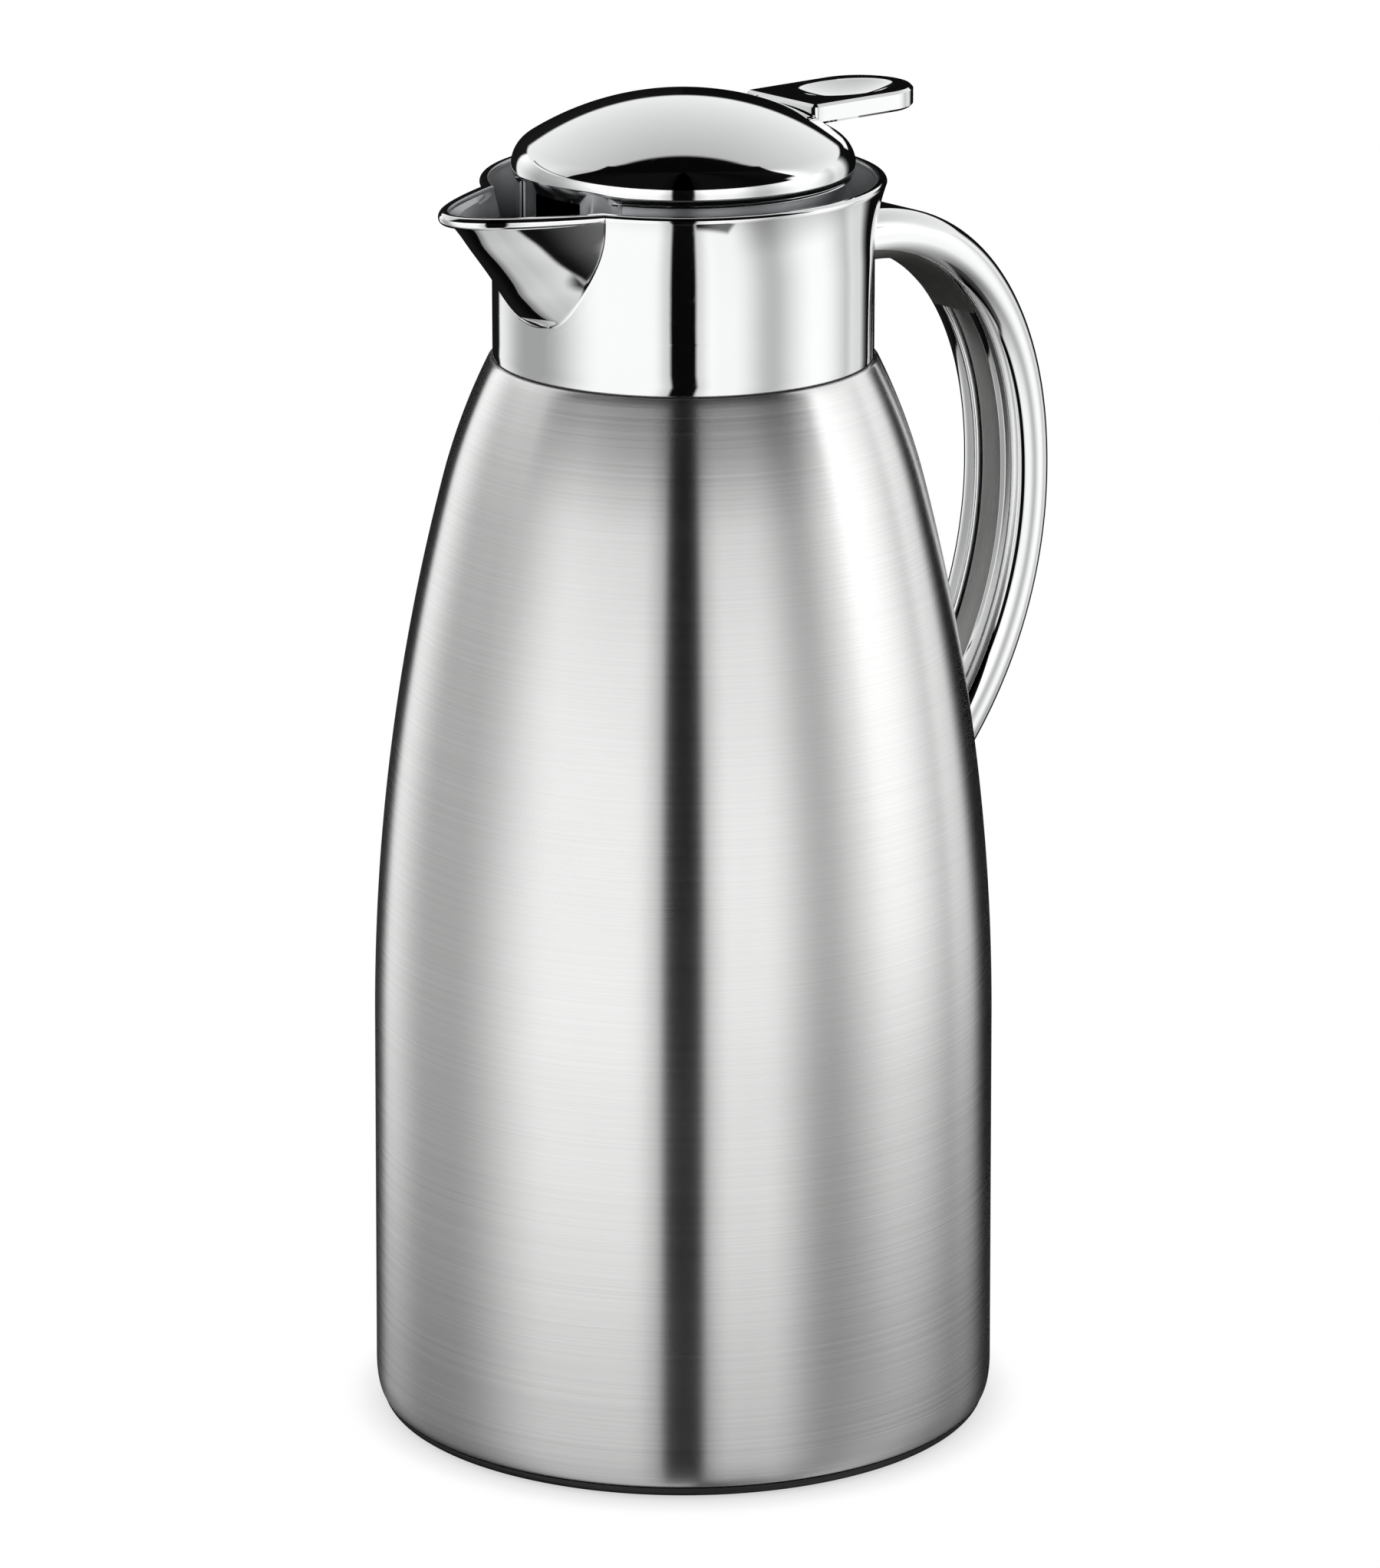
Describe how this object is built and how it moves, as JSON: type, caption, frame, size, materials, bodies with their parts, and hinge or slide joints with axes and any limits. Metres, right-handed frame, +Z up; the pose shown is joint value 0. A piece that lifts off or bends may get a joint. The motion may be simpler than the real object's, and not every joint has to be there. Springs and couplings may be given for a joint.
{
  "type": "insulated jug",
  "caption": "Insulated pouring jug: shouldered steel body, chromed collar with a beak spout, open C handle, and a screw-in lid whose thumb lever lifts a valve.",
  "frame": {"origin": "on the table under the middle of the non-slip pad, on the jug's axis", "axes": "+Z up along the jug's axis, +X towards the handle and the thumb lever, -X towards the spout"},
  "size_m": [0.1607, 0.1308, 0.2813],
  "materials": {
    "brushed_steel": "satin, brushed around the body",
    "bright_steel": "smooth, lightly polished",
    "chrome": "mirror polish",
    "handle_inlay": "dull satin",
    "black_plastic": "fine matte grain",
    "grey_plastic": "smooth matte",
    "rubber": "matte",
    "silicone": "soft matte, off-white"
  },
  "bodies": {
    "jug": {"outer_shell": "brushed_steel", "inner_flask": "bright_steel", "shell_bottom": "bright_steel", "vacuum_plug": "bright_steel", "base_cover": "black_plastic", "non_slip_pad": "rubber", "collar": "chrome", "neck_insert": "grey_plastic", "neck_gasket": "silicone", "handle_shell": "chrome", "handle_strip": "handle_inlay", "handle_cover_top": "handle_inlay", "handle_cover_bottom": "handle_inlay", "handle_bracket": "bright_steel", "handle_screw_top_1": "bright_steel", "handle_screw_top_2": "bright_steel", "handle_screw_bottom": "bright_steel"},
    "seal_ring": {"closure_seal": "silicone"},
    "closure": {"stopper_body": "chrome", "lid_frame": "grey_plastic", "lid_dome": "chrome", "lid_screw_1": "bright_steel", "lid_screw_2": "bright_steel", "lid_screw_3": "bright_steel", "lid_screw_4": "bright_steel", "lever_pin": "bright_steel", "stem_seal": "silicone", "return_spring": "bright_steel"},
    "lever": {"thumb_lever": "chrome"},
    "valve": {"valve_stem": "bright_steel", "stem_pin": "bright_steel", "stem_clip": "bright_steel", "valve_seal": "silicone", "valve_head": "grey_plastic"}
  },
  "joints": [
    {"name": "closure_rise", "type": "slide", "parent": "jug", "child": "seal_ring", "axis": [0, 0, 1], "range_m": [0, 0.0482]},
    {"name": "closure_turn", "type": "hinge", "parent": "seal_ring", "child": "closure", "pos_m": [0, 0, 0.2506], "axis": [0, 0, 1], "range_deg": [0, 720]},
    {"name": "lever_press", "type": "hinge", "parent": "closure", "child": "lever", "pos_m": [0.026, 0, 0.2688], "axis": [0, 1, 0], "range_deg": [0, 12], "stiffness_Nm_per_rad": 0.4, "springref_deg": -8.59},
    {"name": "valve_lift", "type": "slide", "parent": "closure", "child": "valve", "axis": [0, 0, 1], "range_m": [0, 0.0055], "deforming": ["return_spring"]}
  ],
  "couplings": [
    {"joint": "closure_rise", "follows": "closure_turn", "m_per_rad": 0.0038197},
    {"joint": "valve_lift", "follows": "lever_press", "m_per_rad": 0.026}
  ]
}
